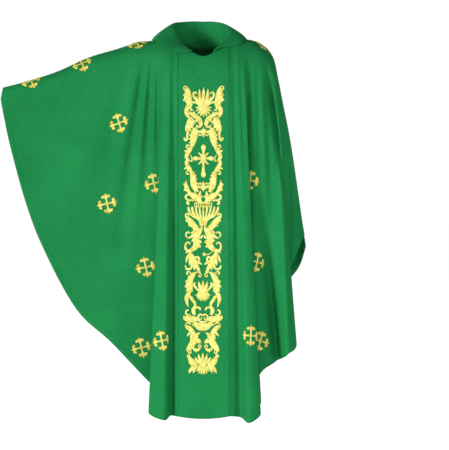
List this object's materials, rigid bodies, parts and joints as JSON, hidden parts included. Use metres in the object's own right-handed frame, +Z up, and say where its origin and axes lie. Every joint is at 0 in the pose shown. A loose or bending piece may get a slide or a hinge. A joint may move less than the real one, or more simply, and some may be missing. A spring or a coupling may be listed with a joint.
{
  "type": "chasuble",
  "caption": "Full sleeveless church vestment with a standing roll collar, two long embroidered pillars and small crosses, one arm raised and one hanging",
  "frame": {"origin": "the middle of the neck at the height where the cloth rests on the shoulders", "axes": "+X towards the wearer's left, -Y the wearer's front, +Z up"},
  "size_m": [1.04, 0.2996, 1.3781],
  "materials": {
    "cloth": "green fine plain-weave cloth, matte with a slight sheen",
    "stiffening": "pale grey-green non-woven stabiliser, matte",
    "seam_thread": "dark green polyester sewing thread",
    "gold_thread": "pale gold rayon embroidery thread in satin stitch",
    "deep_gold_thread": "deeper gold rayon embroidery thread in satin stitch"
  },
  "bodies": {
    "body": {"back_bird_scrolls": "gold_thread", "back_bottom_palmette": "gold_thread", "back_bud_sprig": "gold_thread", "back_centre_hem": "cloth", "back_centre_panel": "cloth", "back_chalice_bowl": "gold_thread", "back_corner_leaves": "gold_thread", "back_crescent_scrolls": "gold_thread", "back_flame_leaves": "gold_thread", "back_foot_leaves": "gold_thread", "back_frame_fleurs": "gold_thread", "back_frame_leaves": "gold_thread", "back_hanging_leaves": "gold_thread", "back_left_seam_stitching": "seam_thread", "back_medallion_cross": "gold_thread", "back_mid_leaves": "gold_thread", "back_right_seam_stitching": "seam_thread", "back_side_scrolls": "gold_thread", "back_small_palmette": "gold_thread", "back_stabiliser": "stiffening", "back_top_palmette": "gold_thread", "back_upper_scrolls": "gold_thread", "back_wing_leaves": "gold_thread", "back_winged_heart": "gold_thread", "collar_interfacing": "stiffening", "collar_outer": "cloth", "collar_under": "cloth", "front_bird_scrolls": "gold_thread", "front_bottom_palmette": "gold_thread", "front_bud_sprig": "gold_thread", "front_centre_hem": "cloth", "front_centre_panel": "cloth", "front_chalice_bowl": "gold_thread", "front_corner_leaves": "gold_thread", "front_crescent_scrolls": "gold_thread", "front_flame_leaves": "gold_thread", "front_foot_leaves": "gold_thread", "front_frame_fleurs": "gold_thread", "front_frame_leaves": "gold_thread", "front_hanging_leaves": "gold_thread", "front_left_seam_stitching": "seam_thread", "front_medallion_cross": "gold_thread", "front_mid_leaves": "gold_thread", "front_right_seam_stitching": "seam_thread", "front_side_scrolls": "gold_thread", "front_small_palmette": "gold_thread", "front_stabiliser": "stiffening", "front_top_palmette": "gold_thread", "front_upper_scrolls": "gold_thread", "front_wing_leaves": "gold_thread", "front_winged_heart": "gold_thread", "neck_facing": "cloth"},
    "right_side": {"back_right_crosses": "deep_gold_thread", "front_right_crosses": "deep_gold_thread", "right_side_hem": "cloth", "right_side_panel": "cloth"},
    "left_side": {"back_left_crosses": "deep_gold_thread", "front_left_crosses": "deep_gold_thread", "left_side_hem": "cloth", "left_side_panel": "cloth"}
  },
  "joints": [
    {"name": "right_arm_lift", "type": "hinge", "parent": "body", "child": "right_side", "pos_m": [-0.09, 0, 0.01], "axis": [0, 1, 0], "range_deg": [-15, 0], "deforming": ["back_right_crosses", "front_right_crosses", "right_side_hem", "right_side_panel"]},
    {"name": "left_arm_lift", "type": "hinge", "parent": "body", "child": "left_side", "pos_m": [0.09, 0, 0.01], "axis": [0, 1, 0], "range_deg": [-20, 0], "deforming": ["back_left_crosses", "front_left_crosses", "left_side_hem", "left_side_panel"]}
  ]
}
